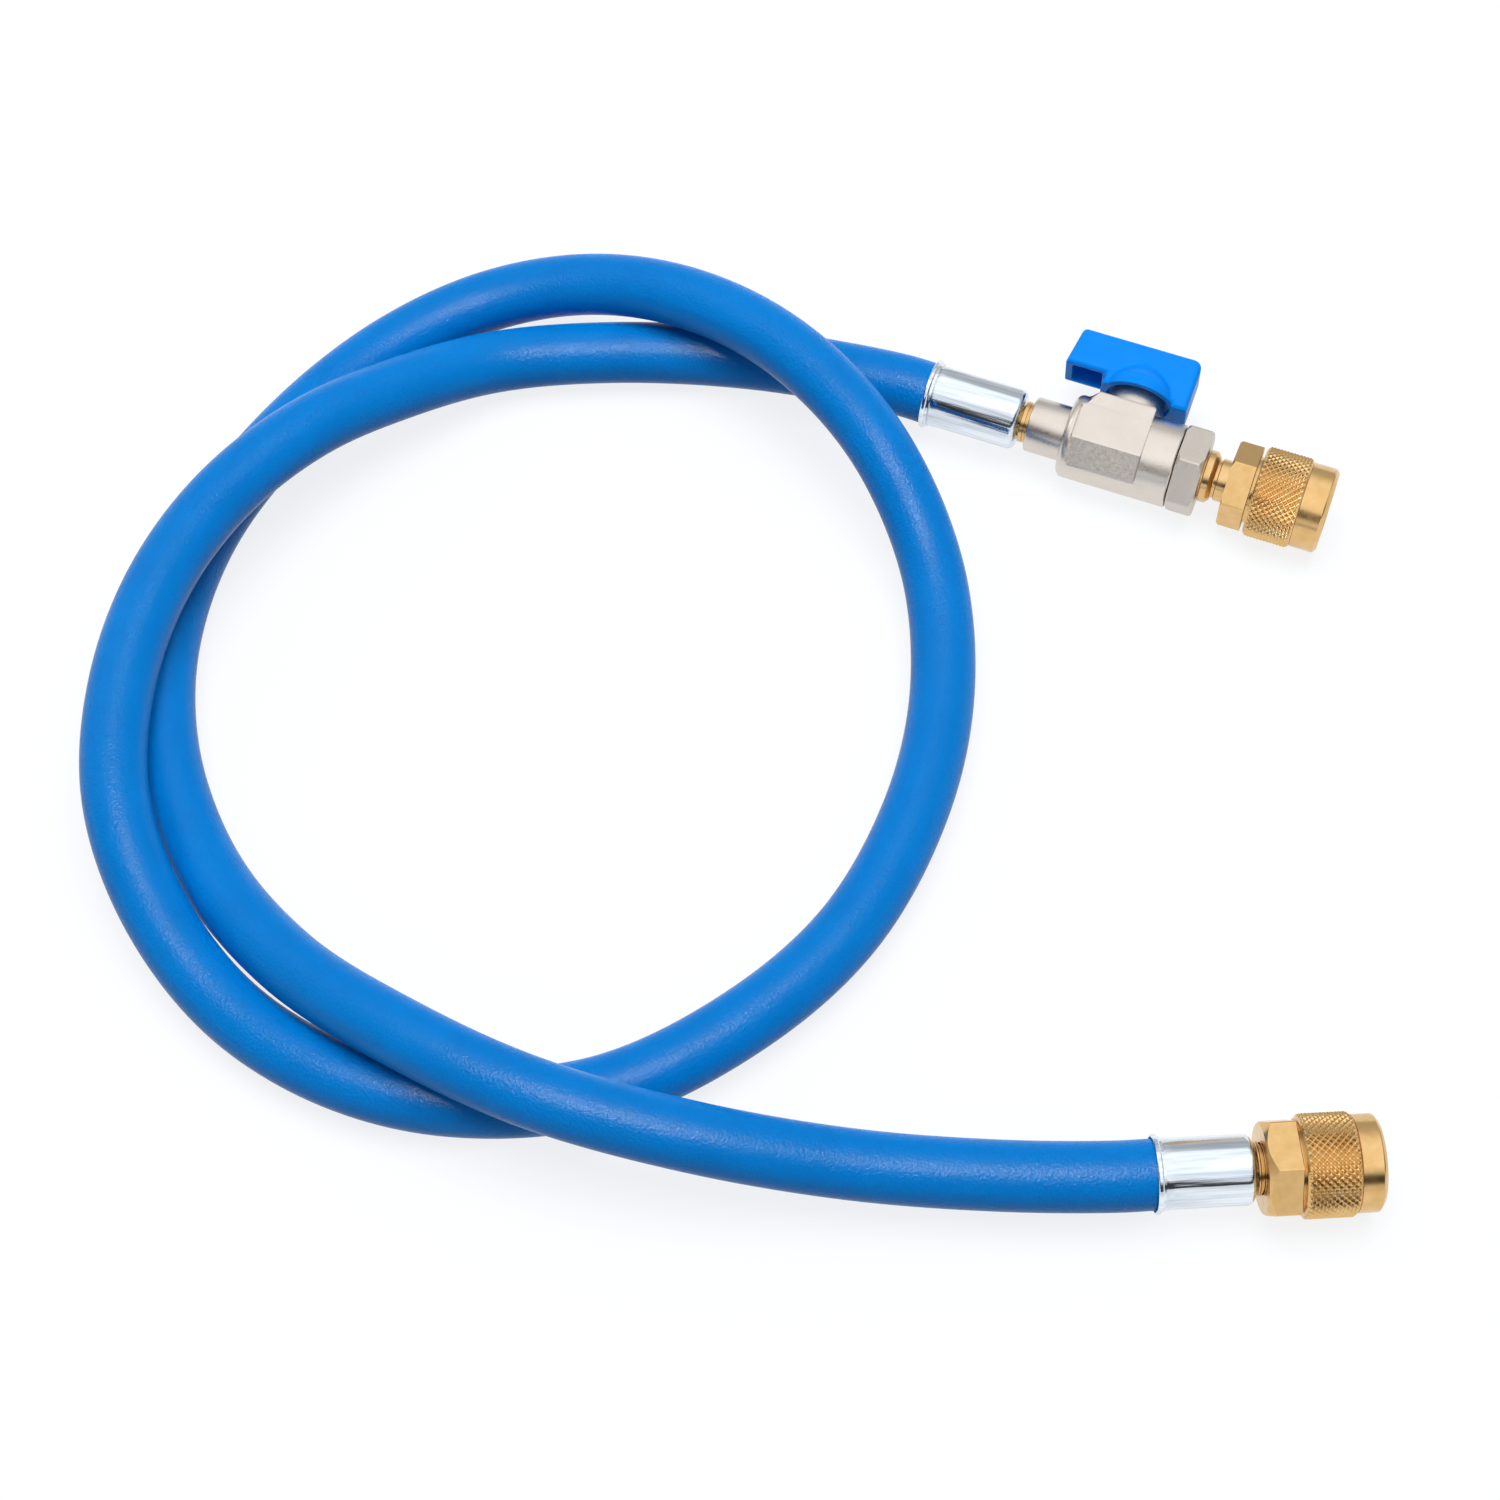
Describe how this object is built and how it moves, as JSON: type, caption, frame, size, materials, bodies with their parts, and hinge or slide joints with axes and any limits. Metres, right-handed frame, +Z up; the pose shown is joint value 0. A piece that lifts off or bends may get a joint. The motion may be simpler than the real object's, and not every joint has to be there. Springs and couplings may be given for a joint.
{
  "type": "refrigerant charging hose",
  "caption": "Loosely looped blue rubber charging hose with crimped ferrules, a knurled brass swivel coupler at each end and a quarter-turn ball valve with a lever before one of them.",
  "frame": {"origin": "centre of the bottom of the two end fittings' common box, on the surface that the hose lies on", "axes": "+Z up, +Y from the plain end's fitting towards the valve end's fitting, +X out of the two couplers and away from the loop"},
  "size_m": [0.2416, 0.2082, 0.0282],
  "materials": {
    "hose": "fine pebbled matte",
    "ferrule": "bright zinc plated",
    "brass": "turned",
    "coupler": "turned and knurled",
    "valve_body": "satin nickel plated, rough where cast",
    "seat": "PTFE",
    "ball": "polished",
    "handle": "moulded, slightly glossy",
    "gasket": "matte"
  },
  "bodies": {
    "hose_assembly": {"hose": "hose", "valve_end_ferrule": "ferrule", "hose_end_ferrule": "ferrule", "valve_end_tailpiece": "brass", "hose_end_tailpiece": "brass", "valve_body": "valve_body", "valve_cap": "valve_body", "valve_rear_seat": "seat", "valve_front_seat": "seat", "outlet_stem": "brass"},
    "lever": {"valve_handle": "handle", "valve_stem": "brass", "valve_ball": "ball"},
    "outlet_coupler": {"outlet_coupler": "coupler", "outlet_gasket": "gasket", "outlet_core_depressor": "brass"},
    "hose_end_coupler": {"hose_end_coupler": "coupler", "hose_end_gasket": "gasket"}
  },
  "joints": [
    {"name": "handle_turn", "type": "hinge", "parent": "hose_assembly", "child": "lever", "pos_m": [-0.00135, 0.06893, 0.0092], "axis": [0.3438, 0.9195, 0.1908], "range_deg": [0, 90]},
    {"name": "outlet_coupler_spin", "type": "hinge", "parent": "hose_assembly", "child": "outlet_coupler", "pos_m": [0.01973, 0.06105, 0.0092], "axis": [0.9367, -0.3502, 0], "continuous": true},
    {"name": "hose_end_coupler_spin", "type": "hinge", "parent": "hose_assembly", "child": "hose_end_coupler", "pos_m": [0.01328, -0.08473, 0.0092], "axis": [0.9983, 0.0576, 0], "continuous": true}
  ]
}
